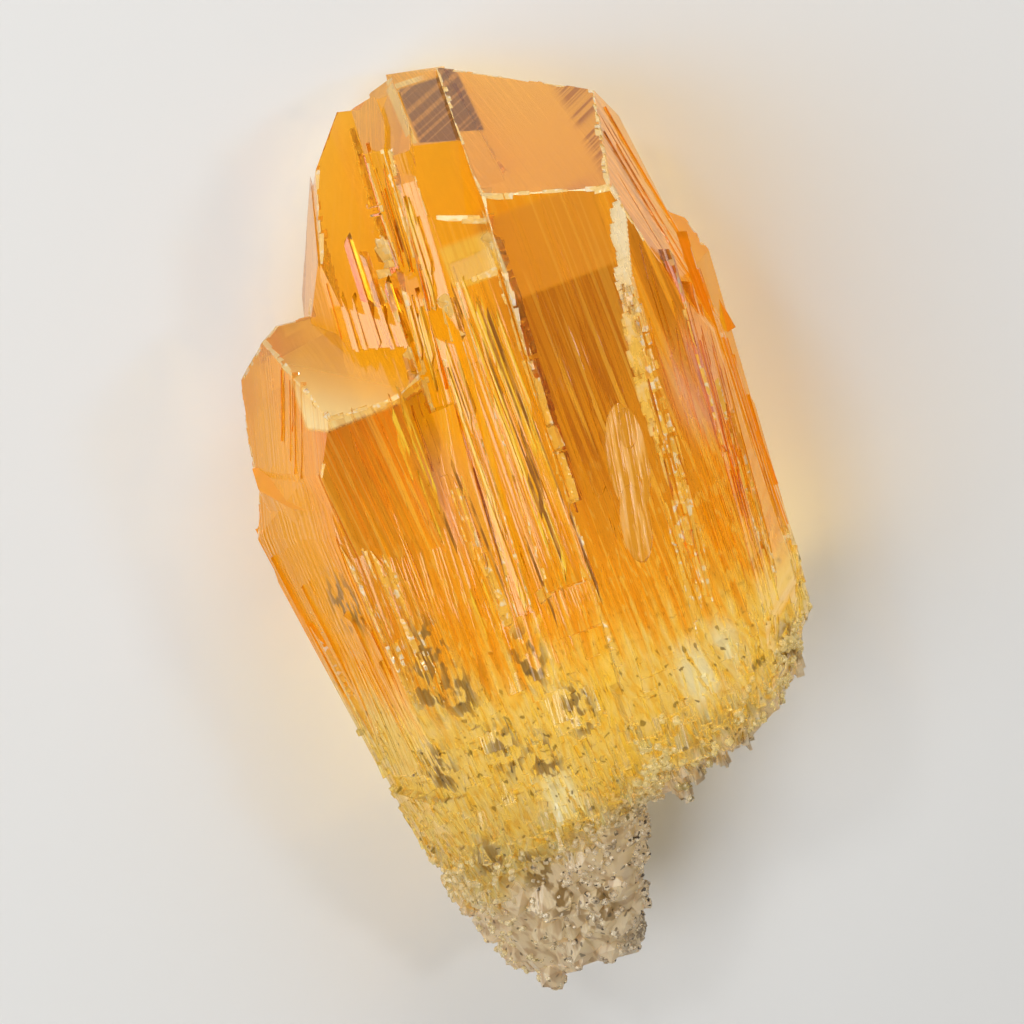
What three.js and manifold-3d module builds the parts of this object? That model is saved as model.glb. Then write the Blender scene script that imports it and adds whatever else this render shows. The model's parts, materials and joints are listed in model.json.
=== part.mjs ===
// A golden kunzite (spodumene) specimen, about 73 mm long: many prisms grown side by side along one
// axis and fused into one crystal, with slanted end faces at one end and a ragged, etched root.
// It lies on its flat back: x runs across it, y along its long axis towards the end faces, and z up
// out of its front. All sizes are in millimetres.
import * as THREE from "three";
import { ConvexGeometry } from "three/addons/geometries/ConvexGeometry.js";
import { mergeVertices } from "three/addons/utils/BufferGeometryUtils.js";
import Module from "manifold-3d";

const wasm = await Module();
wasm.setup();

// Colour and finish of the whole crystal.
const GOLDEN_ORANGE = 0xf2a02c;
const POLISH = 0.08;

// Growth ridges along the prism faces.
const RIDGE_EMBED = 0.6;
const RIDGE_TOP_SHARE = 0.62;
const RIDGE_SLANT = 2.4;

// Tabs and grains of the etched root.
const TAB_EMBED = 0.8;
const TAB_TILT = 0.35;
const BLOCK_DEPTH = 2.4;
const BLOCK_TIP = 0.14;
const BLOCK_ROLL = 0.4;
const LUMP_STRETCH = 0.25;
const GRAIN_DEPTH = 0.7;

const CUTTER_SIZE = 200;
const WELD = 1e-4;

// The slope that the end faces of the large prisms share, as an outward direction.
const END_SLOPE = [0.31, 1, 0.39];

// The face that the crystal lies on.
const FLAT_BACK = { at: [0, 0, 0], normal: [0, 0, -1] };

// The break that slants across the lower right, in two faces.
const brokenEdge = [
  { at: [11.1, -20.9, 12], normal: [0.42, -0.88, 0.18] },
  { at: [11.1, -20.9, 12], normal: [0.42, -0.85, -0.35] },
];

// Each prism has cross-sections of [x, z] corners, clockwise from the front left, at a few places y,
// highest first. Its ends are faces cut through a corner `at`, with an outward direction `normal`.

// The body that all the others grow from.
const trunk = {
  sections: [
    { y: 13, outline: [
      [-12, 18.2], [2, 17], [15, 16], [18.3, 9], [17, 2.5],
      [10, 0], [-8, 0], [-14, 3], [-16.6, 10],
    ] },
    { y: 7, outline: [
      [-13, 18.8], [0, 18.6], [14.5, 17.5], [19.2, 9], [17.6, 2.6],
      [10, 0], [-9, 0], [-15.4, 3], [-19.2, 11],
    ] },
    { y: -8, outline: [
      [-12.5, 19.2], [-1, 20], [13.5, 17.6], [19.4, 9.5], [18, 3],
      [10, 0], [-9, 0], [-15.6, 3], [-17.7, 11],
    ] },
    { y: -24, outline: [
      [-12, 16], [-2, 17], [9, 15.4], [14, 9], [12, 3],
      [6, 1], [-9, 1], [-14.6, 3.5], [-16.6, 10],
    ] },
  ],
  ends: [...brokenEdge, { at: [-6, -22.6, 16], normal: [0.1, -0.7, 0.7] }],
};

// The largest prism, on the right.
const frontPrism = {
  sections: [
    { y: 36, outline: [
      [6, 22.6], [13.8, 22.8], [17.3, 21.9], [18.7, 17], [18.8, 11],
      [17.4, 4], [12, 0], [6.4, 0], [6.4, 10],
    ] },
    { y: -10, outline: [
      [2.5, 21.5], [9.9, 21.6], [14.4, 19.7], [18.2, 14.4], [19.6, 9.4],
      [18.2, 3], [12, 0], [2.2, 0], [2.2, 10],
    ] },
    { y: -20, outline: [
      [1.8, 18], [9, 18.4], [12.6, 16.8], [15.4, 12.6], [17, 9],
      [15.6, 3], [12, 0.6], [1.4, 0.6], [1.4, 10],
    ] },
  ],
  ends: [
    { at: [5.6, 27.2, 22.6], normal: END_SLOPE },
    { at: [16.9, 24.9, 10], normal: [0.95, 0.2, 0.24] },
    { at: [5.2, 34.8, 3], normal: [0.56, 0.73, -0.39] },
    ...brokenEdge,
  ],
};

// Its lower neighbour on the left, with an end face a step behind.
const innerPrism = {
  sections: [
    { y: 36, outline: [[2.2, 18.6], [7, 18.6], [7, 2], [2.6, 2]] },
    { y: -6, outline: [[-1.4, 19.8], [4, 20.4], [4, 2], [-1.4, 2]] },
  ],
  ends: [
    { at: [4.5, 31.8, 10], normal: END_SLOPE },
    { at: [2, 26.7, 18.6], normal: [0.3, 0.8, 0.75] },
    { at: [5.2, 34.6, 3], normal: [0.1, 0.73, -0.39] },
  ],
};

// A narrow lath on that neighbour, with a small bright end.
const brightStep = {
  sections: [
    { y: 26, outline: [[1.9, 20.6], [4.9, 20.9], [4.9, 15], [1.9, 15]] },
    { y: -2, outline: [[-0.2, 20.9], [3.2, 21.5], [3.2, 15], [-0.2, 15]] },
  ],
  ends: [{ at: [3, 22, 20.7], normal: [-0.05, 0.8, 0.6] }],
};

// Slender prisms in the valley between the large ones.
const valleyPrisms = [
  { sections: [
    { y: 34, outline: [[0.7, 14.6], [2.7, 15.6], [3, 6], [0.7, 6]] },
    { y: 0, outline: [[-2.6, 18.4], [-0.2, 19], [0, 6], [-2.6, 6]] },
  ], ends: [{ at: [1.4, 29.4, 14.8], normal: [-0.2, 0.9, 0.5] }] },
  { sections: [
    { y: 30, outline: [[-1.2, 13.4], [0.9, 14.6], [1, 6], [-1.2, 6]] },
    { y: -2, outline: [[-4.9, 18.6], [-2.4, 19], [-2.2, 6], [-4.9, 6]] },
  ], ends: [{ at: [-0.4, 20.8, 15.4], normal: [0.1, 0.8, 0.6] }] },
  { sections: [
    { y: 30, outline: [[-3, 11.6], [-1, 13], [-1, 6], [-3, 6]] },
    { y: -2, outline: [[-6.6, 19], [-4.2, 18], [-4.2, 6], [-6.6, 6]] },
  ], ends: [{ at: [-3.4, 15.6, 15.4], normal: [-0.1, 0.8, 0.6] }] },
  { sections: [
    { y: 24, outline: [[-0.6, 18.2], [0.5, 18.6], [0.6, 10], [-0.6, 10]] },
    { y: -3, outline: [[-2.9, 20.2], [-1.6, 20.6], [-1.5, 10], [-2.9, 10]] },
  ], ends: [{ at: [-0.2, 18.2, 18.4], normal: [0.2, 0.75, 0.66] }] },
];

// The tall group at the upper left, one behind the other.
const topLeftPrisms = [
  { sections: [
    { y: 36, outline: [[-5.2, 13], [-2.4, 14], [-0.5, 10], [-0.5, 2.2], [-5, 2.2], [-7, 6]] },
    { y: -5, outline: [[-9.6, 14], [-4, 16], [-1, 12], [-1, 2], [-10, 2], [-12.6, 6]] },
  ], ends: [
    { at: [-1.3, 33.9, 5.6], normal: [0.06, 0.52, 0.85] },
    { at: [-5.8, 29, 6], normal: [-0.93, 0.36, 0.06] },
    { at: [-3.8, 31.9, 6], normal: [-0.76, 0.62, -0.15] },
    { at: [-1.3, 33.9, 5.6], normal: [0.25, 0.95, -0.2] },
  ] },
  { sections: [
    { y: 36, outline: [[-0.7, 11.6], [0.6, 12.8], [1.2, 10], [1.2, 2], [-0.7, 2]] },
    { y: 5, outline: [[-3.6, 13.4], [-1.9, 15], [0, 11], [0, 2], [-3.6, 2]] },
  ], ends: [
    { at: [0.6, 34.2, 6], normal: [-0.3, 0.9, 0.35] },
    { at: [0.6, 34.2, 6], normal: [0, 0.8, -0.6] },
  ] },
  { sections: [
    { y: 37, outline: [[1, 13.4], [2.4, 15], [2.9, 12], [2.9, 2], [1, 2]] },
    { y: 5, outline: [[-1.7, 15.4], [0.4, 17], [1.4, 13], [1.4, 2], [-1.7, 2]] },
  ], ends: [
    { at: [2.6, 34.9, 5], normal: [-0.4, 0.85, 0.3] },
    { at: [2.6, 34.9, 5], normal: [0, 0.8, -0.6] },
  ] },
  { sections: [
    { y: 30, outline: [[-8.8, 8], [-6.6, 10.4], [-5.6, 3.4], [-8.4, 3.2]] },
    { y: 0, outline: [[-13, 9], [-10, 13], [-9, 3], [-12.6, 3]] },
  ], ends: [
    { at: [-7.2, 27.6, 6.4], normal: [-0.7, 0.68, 0.2] },
    { at: [-7.3, 25.4, 8], normal: [-0.9, 0.43, 0.1] },
  ] },
];

// The short, thick prism on the left, with the flat glowing end.
const leftPrism = {
  sections: [
    { y: 26, outline: [
      [-12, 20.4], [-5, 20.4], [-2.6, 18.6], [-2.4, 3],
      [-9, 1.4], [-14, 3.4], [-18, 9.6],
    ] },
    { y: -15, outline: [
      [-12.8, 17.4], [-7.2, 17.8], [-4.8, 17], [-4.6, 3],
      [-9, 1.4], [-14.6, 3.4], [-16.8, 9.6],
    ] },
  ],
  ends: [
    { at: [-8, 15.5, 20.2], normal: [0.06, 1, 0.46] },
    { at: [-12.6, 14, 17], normal: [-0.81, 0.4, 0.43] },
    { at: [-11.8, 21.6, 9], normal: [-0.55, 0.8, -0.2] },
    { at: [-8, 20.6, 8], normal: [0.1, 0.8, -0.6] },
  ],
};

// A rib down its outer side.
const leftStrip = {
  sections: [
    { y: 12, outline: [
      [-15.6, 15.2], [-12.6, 18.2], [-10.6, 18.6],
      [-10.6, 8], [-17.6, 8], [-17.6, 12],
    ] },
    { y: -14, outline: [
      [-16.2, 14.2], [-13.2, 17], [-11.6, 17.4],
      [-11.6, 8], [-16.8, 8], [-17, 11],
    ] },
  ],
  ends: [{ at: [-14, 8.6, 17.4], normal: [-0.25, 0.8, 0.5] }],
};

// The shoulder down the right edge.
const rightShoulder = {
  sections: [
    { y: 22, outline: [[15.4, 14.8], [18.2, 13.6], [20.9, 9], [20.5, 4], [17, 1.4], [13, 2]] },
    { y: -16, outline: [[13.6, 14], [16.6, 12.6], [19.2, 8.6], [18.5, 4], [16, 1.2], [12, 2]] },
  ],
  ends: [
    { at: [20.6, 15.2, 8], normal: [0.55, 1, 0.35] },
    { at: [18.3, -16.2, 9], normal: [0.75, -0.66, 0] },
  ],
};

// The core of the etched root.
const root = {
  sections: [
    { y: -16, outline: [
      [-14, 17.4], [-2, 18], [4, 15], [4.4, 7],
      [0, 3], [-13, 3], [-16.6, 6], [-17.2, 12],
    ] },
    { y: -28, outline: [
      [-13, 14.4], [-3, 15], [-0.5, 12.6], [-0.3, 8],
      [-3.6, 4], [-11, 4], [-14.8, 6], [-15.4, 11],
    ] },
    { y: -37, outline: [
      [-11.6, 10.8], [-6, 11.2], [-3.2, 9.8], [-3, 8],
      [-5, 6.6], [-10, 6.4], [-11.8, 7], [-12.2, 9],
    ] },
  ],
  ends: [],
};

const prisms = [
  frontPrism,
  innerPrism,
  brightStep,
  ...valleyPrisms,
  ...topLeftPrisms,
  leftPrism,
  leftStrip,
  rightShoulder,
  root,
];

// A repeatable stream of numbers from 0 to 1.
function seeded(seed) {
  let state = seed;
  return () => {
    state = (state + 0x6d2b79f5) | 0;
    let mixed = Math.imul(state ^ (state >>> 15), 1 | state);
    mixed ^= mixed + Math.imul(mixed ^ (mixed >>> 7), 61 | mixed);
    return ((mixed ^ (mixed >>> 14)) >>> 0) / 2 ** 32;
  };
}

const between = (random, low, high) => low + (high - low) * random();

function toSolid(geometry) {
  geometry.deleteAttribute("normal");
  geometry.deleteAttribute("uv");
  const welded = mergeVertices(geometry, WELD);
  const vertProperties = welded.attributes.position.array;
  const triVerts = new Uint32Array(welded.index.array);
  return new wasm.Manifold(new wasm.Mesh({ numProp: 3, vertProperties, triVerts }));
}

function toGeometry(solid) {
  const { vertProperties, triVerts } = solid.getMesh();
  const geometry = new THREE.BufferGeometry();
  geometry.setAttribute("position", new THREE.BufferAttribute(vertProperties, 3));
  geometry.setIndex(new THREE.BufferAttribute(triVerts, 1));
  geometry.computeVertexNormals();
  return geometry;
}

const joinAll = (solid, others) => others.reduce((whole, one) => whole.add(one), solid);

const hull = (points) => toSolid(new ConvexGeometry(points));

// Takes away what lies beyond the plane through `at` with the outward direction `normal`.
function cutFace(solid, { at, normal }) {
  const outward = new THREE.Vector3(...normal).normalize();
  const cutter = new THREE.BoxGeometry(CUTTER_SIZE, CUTTER_SIZE, CUTTER_SIZE)
    .translate(0, 0, CUTTER_SIZE / 2)
    .applyQuaternion(new THREE.Quaternion().setFromUnitVectors(new THREE.Vector3(0, 0, 1), outward))
    .translate(...at);
  return solid.subtract(toSolid(cutter));
}

function prismSolid({ sections, ends }) {
  const corners = sections.flatMap(({ y, outline }) => outline.map(([x, z]) => new THREE.Vector3(x, y, z)));
  return ends.reduce(cutFace, hull(corners));
}

// The point on side face `side` of a prism at the place y: `along` is its share of the face's width,
// and `out` its distance in front of the face.
function onFace({ sections }, side, along, y, out) {
  const above = Math.max(0, sections.findIndex((section) => section.y <= y) - 1);
  const [upper, lower] = [sections[above], sections[above + 1]];
  const share = (y - lower.y) / (upper.y - lower.y);
  const corner = (i) => {
    const k = i % upper.outline.length;
    return new THREE.Vector2(...lower.outline[k]).lerp(new THREE.Vector2(...upper.outline[k]), share);
  };
  const [from, to] = [corner(side), corner(side + 1)];
  const across = to.clone().sub(from);
  const outward = new THREE.Vector2(-across.y, across.x).normalize();
  const spot = from.addScaledVector(across, along).addScaledVector(outward, out);
  return new THREE.Vector3(spot.x, y, spot.y);
}

function faceWidth({ sections }, side, y) {
  return onFace({ sections }, side, 0, y, 0).distanceTo(onFace({ sections }, side, 1, y, 0));
}

// One growth ridge: a long flat bar on a prism face with bevelled sides and slanted ends.
function ridge(prism, side, { along, width, rise, low, high, slant }) {
  const half = width / 2 / faceWidth(prism, side, low);
  const points = [];
  for (const edge of [-half, half]) {
    const shift = (edge < 0 ? -slant : slant) / 2;
    for (const [y, inward] of [[low + shift, 1], [high + shift, -1]]) {
      points.push(onFace(prism, side, along + edge, y, -RIDGE_EMBED));
      points.push(onFace(prism, side, along + edge * RIDGE_TOP_SHARE, y + inward * rise, rise));
    }
  }
  return hull(points);
}

function ridgesOn(prism, side, { count, widths, rises, from, to, lengths }, random) {
  return Array.from({ length: count }, (_, i) => {
    const high = between(random, from + lengths[0], to);
    return ridge(prism, side, {
      along: (i + between(random, 0.15, 0.85)) / count,
      width: between(random, ...widths),
      rise: between(random, ...rises),
      low: Math.max(from, high - between(random, ...lengths)),
      high,
      slant: between(random, -RIDGE_SLANT, RIDGE_SLANT),
    });
  });
}

// One tab of the etched zone: a short slab along the axis that stands a little proud.
function tab(prism, side, { along, y, width, length, rise }) {
  const half = width / 2 / faceWidth(prism, side, y);
  const points = [];
  for (const edge of [-half, half]) {
    points.push(onFace(prism, side, along + edge, y, -TAB_EMBED));
    points.push(onFace(prism, side, along + edge, y, rise));
    points.push(onFace(prism, side, along + edge, y + length, -TAB_EMBED));
    points.push(onFace(prism, side, along + edge, y + length, rise * TAB_TILT));
  }
  return hull(points);
}

// One lump of the crumbly root: a stone with flat faces, stretched and turned at random.
function lump({ centre, radius }, random) {
  const stone = new THREE.IcosahedronGeometry(radius, 0);
  const stretch = () => between(random, 1 - LUMP_STRETCH, 1 + LUMP_STRETCH);
  stone.rotateX(between(random, 0, Math.PI));
  stone.scale(stretch(), stretch(), stretch());
  stone.rotateY(between(random, 0, Math.PI));
  stone.translate(centre.x, centre.y, centre.z);
  return toSolid(stone);
}

function addRidges(solid) {
  const random = seeded(11);
  const groups = [
    [frontPrism, 0, {
      count: 13, widths: [0.35, 0.8], rises: [0.08, 0.2],
      from: -13, to: 15, lengths: [10, 26],
    }],
    [frontPrism, 1, {
      count: 6, widths: [0.4, 0.9], rises: [0.12, 0.3],
      from: -13, to: 21, lengths: [14, 32],
    }],
    [frontPrism, 2, {
      count: 7, widths: [0.4, 0.9], rises: [0.12, 0.3],
      from: -13, to: 20, lengths: [14, 32],
    }],
    [frontPrism, 3, {
      count: 5, widths: [0.5, 1.1], rises: [0.15, 0.35],
      from: -12, to: 15, lengths: [14, 26],
    }],
    [trunk, 0, { count: 16, widths: [0.4, 1.1], rises: [0.15, 0.45], from: -16, to: 9, lengths: [9, 24] }],
    [trunk, 8, { count: 8, widths: [0.6, 1.3], rises: [0.15, 0.5], from: -17, to: 6, lengths: [10, 20] }],
    [trunk, 1, { count: 7, widths: [0.4, 0.9], rises: [0.15, 0.4], from: -14, to: 4, lengths: [8, 16] }],
    [topLeftPrisms[0], 0, {
      count: 5, widths: [0.4, 0.9], rises: [0.12, 0.3],
      from: 12, to: 29, lengths: [6, 14],
    }],
    [topLeftPrisms[0], 1, {
      count: 3, widths: [0.4, 0.8], rises: [0.1, 0.25],
      from: 14, to: 30, lengths: [6, 14],
    }],
    [leftPrism, 0, {
      count: 4, widths: [0.4, 0.9], rises: [0.08, 0.2],
      from: -12, to: 9, lengths: [10, 18],
    }],
    [rightShoulder, 1, {
      count: 4, widths: [0.6, 1.2], rises: [0.15, 0.4],
      from: -13, to: 9, lengths: [12, 24],
    }],
    [trunk, 4, { count: 4, widths: [0.8, 1.6], rises: [0.2, 0.5], from: -16, to: 11, lengths: [10, 20] }],
    [trunk, 6, { count: 3, widths: [0.8, 1.6], rises: [0.2, 0.5], from: -20, to: 11, lengths: [10, 20] }],
  ];
  const made = groups.flatMap(([prism, side, sizes]) => ridgesOn(prism, side, sizes, random));
  return joinAll(solid, made);
}

function addTabs(solid) {
  const random = seeded(23);
  const groups = [
    { prism: trunk, side: 0, count: 12, low: -15, high: -8 },
    { prism: trunk, side: 1, count: 10, low: -15, high: -8 },
    { prism: frontPrism, side: 0, count: 7, low: -15, high: -10 },
    { prism: frontPrism, side: 1, count: 5, low: -15, high: -10 },
  ];
  const made = groups.flatMap(({ prism, side, count, low, high }) =>
    Array.from({ length: count }, () =>
      tab(prism, side, {
        along: between(random, 0.06, 0.94),
        y: between(random, low, high),
        width: between(random, 0.5, 1.5),
        length: between(random, 1.5, 4.5),
        rise: between(random, 0.15, 0.45),
      })));
  return joinAll(solid, made);
}

// One block of the etched zone: a box along the axis, tipped a little and sunk into a face.
function block({ centre, width, length }, random) {
  const box = new THREE.BoxGeometry(width, length, BLOCK_DEPTH)
    .rotateX(between(random, -BLOCK_TIP, BLOCK_TIP))
    .rotateY(between(random, -BLOCK_ROLL, BLOCK_ROLL))
    .translate(centre.x, centre.y, centre.z);
  return toSolid(box);
}

function addEtchedBlocks(solid) {
  const random = seeded(29);
  const groups = [
    { prism: trunk, side: 0, count: 31, low: -21.5, high: -11 },
    { prism: trunk, side: 1, count: 31, low: -21.5, high: -11 },
    { prism: frontPrism, side: 0, count: 16, low: -18.5, high: -12.5 },
    { prism: frontPrism, side: 1, count: 10, low: -16.5, high: -12 },
    { prism: trunk, side: 8, count: 8, low: -22, high: -16 },
  ];
  const made = groups.flatMap(({ prism, side, count, low, high }) =>
    Array.from({ length: count }, (_, i) => {
      const y = between(random, low, high);
      const out = between(random, 0.05, 0.5) - BLOCK_DEPTH / 2;
      const centre = onFace(prism, side, (i + random()) / count, y, out);
      return block({ centre, width: between(random, 0.7, 1.8), length: between(random, 1.4, 4.2) }, random);
    }));
  return joinAll(solid, made);
}

// The stubs of broken prisms along the slanting lower edge on the right.
function addStubs(solid) {
  const random = seeded(31);
  const rightEnd = new THREE.Vector3(16.3, -17, 9);
  const leftEnd = new THREE.Vector3(3.4, -23.1, 9);
  const count = 30;
  const made = Array.from({ length: count }, (_, i) => {
    const share = (i + between(random, 0.2, 0.8)) / count;
    const centre = rightEnd.clone().lerp(leftEnd, share);
    const height = between(random, -2, 6) * Math.min(1, 0.3 + 2 * share);
    const size = [between(random, 0.8, 1.7), between(random, 4, 6), between(random, 2.2, 5)];
    return toSolid(new THREE.BoxGeometry(...size)
      .rotateY(between(random, -0.6, 0.6))
      .rotateX(between(random, -0.25, 0.15))
      .translate(centre.x, centre.y + size[1] / 2 - between(random, 0.1, 1), centre.z + height));
  });
  return joinAll(solid, made);
}

// The crumbly root: lumps sunk into its core, then small grains sunk into the lumps.
function addRootLumps(solid) {
  const random = seeded(47);
  const frontSides = [0, 0, 7, 1, 0, 2, 6, 0, 7, 1, 3, 5, 0, 4];
  const lumps = Array.from({ length: 64 }, (_, i) => {
    const radius = between(random, 1.2, 2.1);
    const y = between(random, -37, -21.5);
    const side = frontSides[i % frontSides.length];
    return { radius, centre: onFace(root, side, random(), y, -radius * between(random, 0.3, 0.65)) };
  });
  const grains = Array.from({ length: 30 }, (_, i) => {
    const { centre, radius } = lumps[i % lumps.length];
    const outward = centre.clone().sub(new THREE.Vector3(-8.5, centre.y, 9)).normalize();
    const spread = new THREE.Vector3(...[0, 0, 0].map(() => between(random, -0.9, 0.9)));
    const spot = outward.add(spread).normalize().multiplyScalar(radius * GRAIN_DEPTH);
    return { radius: between(random, 0.45, 0.9), centre: centre.clone().add(spot) };
  });
  return joinAll(solid, [...lumps, ...grains].map((sizes) => lump(sizes, random)));
}

function crystalSolid() {
  const grown = joinAll(prismSolid(trunk), prisms.map(prismSolid));
  const details = [addRidges, addTabs, addEtchedBlocks, addStubs, addRootLumps];
  return cutFace(details.reduce((whole, add) => add(whole), grown), FLAT_BACK);
}

const geometry = toGeometry(crystalSolid());
geometry.computeBoundingBox();
const { min, max } = geometry.boundingBox;
geometry.translate(-(min.x + max.x) / 2, -(min.y + max.y) / 2, -min.z);

const material = new THREE.MeshStandardMaterial({ color: GOLDEN_ORANGE, roughness: POLISH, metalness: 0 });
const crystal = new THREE.Mesh(geometry, material);
crystal.name = "kunzite_crystal";

const specimen = new THREE.Group();
specimen.add(crystal);

export default specimen;
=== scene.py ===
import json
import random
from math import cos, pi, radians, sin

import bpy
from mathutils import Matrix, Vector
from mathutils.bvhtree import BVHTree

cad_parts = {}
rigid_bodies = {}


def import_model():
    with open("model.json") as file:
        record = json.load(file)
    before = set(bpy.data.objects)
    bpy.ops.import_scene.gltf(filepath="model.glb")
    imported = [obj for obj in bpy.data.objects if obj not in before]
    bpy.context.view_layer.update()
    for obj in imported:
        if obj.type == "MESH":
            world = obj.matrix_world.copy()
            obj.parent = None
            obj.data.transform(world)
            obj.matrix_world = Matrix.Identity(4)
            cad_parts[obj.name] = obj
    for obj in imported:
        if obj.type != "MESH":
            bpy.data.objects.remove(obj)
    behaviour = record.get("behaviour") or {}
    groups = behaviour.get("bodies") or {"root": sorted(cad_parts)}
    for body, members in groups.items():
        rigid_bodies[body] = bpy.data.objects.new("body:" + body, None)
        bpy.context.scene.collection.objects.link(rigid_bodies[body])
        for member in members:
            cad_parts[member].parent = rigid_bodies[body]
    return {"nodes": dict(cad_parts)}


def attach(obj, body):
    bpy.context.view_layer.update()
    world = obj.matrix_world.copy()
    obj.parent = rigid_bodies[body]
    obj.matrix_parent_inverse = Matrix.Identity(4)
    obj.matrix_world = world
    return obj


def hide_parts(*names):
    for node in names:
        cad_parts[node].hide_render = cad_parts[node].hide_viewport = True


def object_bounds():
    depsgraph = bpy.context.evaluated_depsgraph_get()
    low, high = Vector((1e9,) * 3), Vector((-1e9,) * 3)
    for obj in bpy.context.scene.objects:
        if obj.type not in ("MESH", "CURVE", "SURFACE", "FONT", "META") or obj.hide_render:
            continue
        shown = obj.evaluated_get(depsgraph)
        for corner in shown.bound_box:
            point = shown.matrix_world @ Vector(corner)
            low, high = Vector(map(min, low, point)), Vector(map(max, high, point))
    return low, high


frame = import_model()
cad_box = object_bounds()

# Crystal: one natural spodumene crystal, many prisms grown side by side along y and fused.
# It starts as a merged copy of the solid. The finer forms below are seated on its faces,
# and are joined to it or cut out of it, so it stays one closed body.
MM = 0.001
MERGE = 0.001 * MM
cad_crystal = frame["nodes"]["kunzite_crystal"]
crystal = bpy.data.objects.new("crystal", cad_crystal.data.copy())
bpy.context.collection.objects.link(crystal)


def pick_only(piece):
    bpy.ops.object.select_all(action="DESELECT")
    piece.select_set(True)
    bpy.context.view_layer.objects.active = piece


pick_only(crystal)
bpy.ops.object.mode_set(mode="EDIT")
bpy.ops.mesh.select_all(action="SELECT")
bpy.ops.mesh.remove_doubles(threshold=MERGE)
bpy.ops.object.mode_set(mode="OBJECT")

LOW, HIGH = (Vector(corner) for corner in cad_box)
ALONG = Vector((0, 1, 0))
HEART_X = -0.5 * MM
HEART_Z = 10.5 * MM
OUTSIDE = 60 * MM


def read_skin():
    mesh = crystal.data
    corners = [corner.co for corner in mesh.vertices]
    return BVHTree.FromPolygons(corners, [face.vertices for face in mesh.polygons])


skin = read_skin()


def touch(eye, ray):
    spot, normal, _, _ = skin.ray_cast(eye, ray)
    return (spot, normal) if spot else None


def find_face(angle, y):
    """The spot and outward normal of the skin at y, seen from an angle off straight up."""
    outward = Vector((sin(angle), 0, cos(angle)))
    return touch(Vector((HEART_X, y, HEART_Z)) + outward * OUTSIDE, -outward)


def face_above(x, y):
    """The spot and outward normal of the skin straight above a place."""
    return touch(Vector((x, y, OUTSIDE)), Vector((0, 0, -1)))


def seat(spot, normal, size, out, tip=0.0, roll=0.0, run=ALONG):
    """Where a blank of unit size goes, to lie on the skin at a spot with its length along `run`."""
    along = (run - normal * run.dot(normal)).normalized()
    across = along.cross(normal)
    turn = Matrix((across, along, normal)).transposed().to_4x4()
    tilt = Matrix.Rotation(tip, 4, "X") @ Matrix.Rotation(roll, 4, "Y")
    return Matrix.Translation(spot + normal * out) @ turn @ tilt @ Matrix.Diagonal((*size, 1))


def in_box(mesh):
    return all(LOW[i] <= corner.co[i] <= HIGH[i] for corner in mesh.vertices for i in range(3))


def copy_blank(blank, place, heap):
    """Puts a copy of a blank in a heap. One that is to be joined must not reach past the solid's box."""
    mesh = blank.data.copy()
    mesh.transform(place)
    if heap["cuts"] or in_box(mesh):
        heap.objects.link(bpy.data.objects.new(blank.name, mesh))


def new_heap(name, cuts=False):
    heap = bpy.data.collections.new(name)
    heap["cuts"] = cuts
    bpy.context.scene.collection.children.link(heap)
    return heap


def work_in(heap):
    """Joins the pieces of a heap to the crystal, or cuts them out of it."""
    global skin
    pick_only(crystal)
    bpy.ops.object.modifier_add(type="BOOLEAN")
    change = crystal.modifiers[-1]
    change.operation = "DIFFERENCE" if heap["cuts"] else "UNION"
    change.solver = "MANIFOLD"
    change.operand_type = "COLLECTION"
    change.collection = heap
    bpy.ops.object.modifier_apply(modifier=change.name)
    for piece in list(heap.objects):
        bpy.data.meshes.remove(piece.data)
    bpy.data.collections.remove(heap)
    skin = read_skin()


# Worn edges: the long edges between the large faces are chipped all along. Each chip is a short
# flat cut that slants across its edge; its frosted floor is golden, with painted highlights on it.
KUNZITE_IOR = 1.66
GLOSS = 0.25


def new_finish(name):
    """A material with an empty tree, which the node helpers below fill from here on."""
    global tree
    finish = bpy.data.materials.new(name)
    finish.use_nodes = True
    tree = finish.node_tree
    tree.nodes.clear()
    return finish


def node(kind, **settings):
    made = tree.nodes.new(kind)
    for name, value in settings.items():
        setattr(made, name, value)
    return made


def feed(value, socket):
    """Links an output to a socket, or sets the socket to a plain number or colour."""
    if isinstance(value, bpy.types.NodeSocket):
        tree.links.new(value, socket)
    elif isinstance(value, tuple):
        socket.default_value = (*value, 1)
    else:
        socket.default_value = value


def maths(kind, *values):
    sum_node = node("ShaderNodeMath", operation=kind)
    for value, socket in zip(values, sum_node.inputs):
        feed(value, socket)
    return sum_node.outputs["Value"]


def ramp(value, low, high, from_value=0.0, to_value=1.0):
    """A smooth step from one number to another, as the value goes from low to high."""
    step = node("ShaderNodeMapRange", interpolation_type="SMOOTHSTEP")
    numbers = (value, low, high, from_value, to_value)
    for number, name in zip(numbers, ("Value", "From Min", "From Max", "To Min", "To Max")):
        feed(number, step.inputs[name])
    return step.outputs["Result"]


def blend(share, first, second):
    mix = node("ShaderNodeMix", data_type="RGBA")
    feed(share, mix.inputs[0])
    feed(first, mix.inputs[6])
    feed(second, mix.inputs[7])
    return mix.outputs[2]


def fade(share, first, second):
    mix = node("ShaderNodeMix", data_type="FLOAT")
    feed(share, mix.inputs[0])
    feed(first, mix.inputs[2])
    feed(second, mix.inputs[3])
    return mix.outputs[0]


def noise(scale, vector, detail, dimensions="3D"):
    """Noise with so many waves to the unit of the vector."""
    pattern = node("ShaderNodeTexNoise", noise_dimensions=dimensions)
    feed(vector, pattern.inputs["Vector"])
    feed(scale, pattern.inputs["Scale"])
    feed(detail, pattern.inputs["Detail"])
    return pattern.outputs["Fac"]


def joined(x, y, z=0.0):
    vector = node("ShaderNodeCombineXYZ")
    for value, socket in zip((x, y, z), vector.inputs):
        feed(value, socket)
    return vector.outputs["Vector"]


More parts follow.
